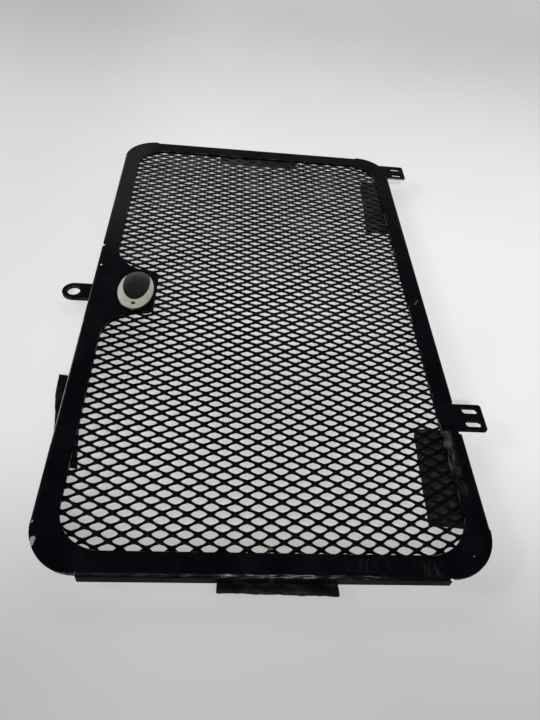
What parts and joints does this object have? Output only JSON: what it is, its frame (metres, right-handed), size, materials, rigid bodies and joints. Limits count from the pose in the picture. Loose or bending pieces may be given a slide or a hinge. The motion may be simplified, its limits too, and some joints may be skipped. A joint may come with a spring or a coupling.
{
  "type": "motorcycle radiator guard",
  "caption": "Folded black sheet frame holding a fine diamond mesh, with a bolt ear, cable tie tabs, an oval badge and foam pads, which shields a motorcycle radiator.",
  "frame": {"origin": "on the surface under the foam pads, below the middle of the whole guard", "axes": "+Z out of the front face, +Y up along the guard, +X towards the tie tabs"},
  "size_m": [0.2198, 0.3298, 0.0126],
  "materials": {
    "frame_coat": "satin powder coat, chipped and scuffed",
    "mesh_coat": "satin powder coat",
    "badge_dome": "clear domed resin",
    "foam": "matt closed-cell foam"
  },
  "bodies": {
    "root": {"guard_frame": "frame_coat", "mesh_panel": "mesh_coat", "badge": "badge_dome", "foam_pad_left": "foam", "foam_pad_bottom": "foam", "foam_pad_top": "foam", "foam_pad_right_lower": "foam", "foam_pad_right_upper": "foam"}
  },
  "joints": []
}
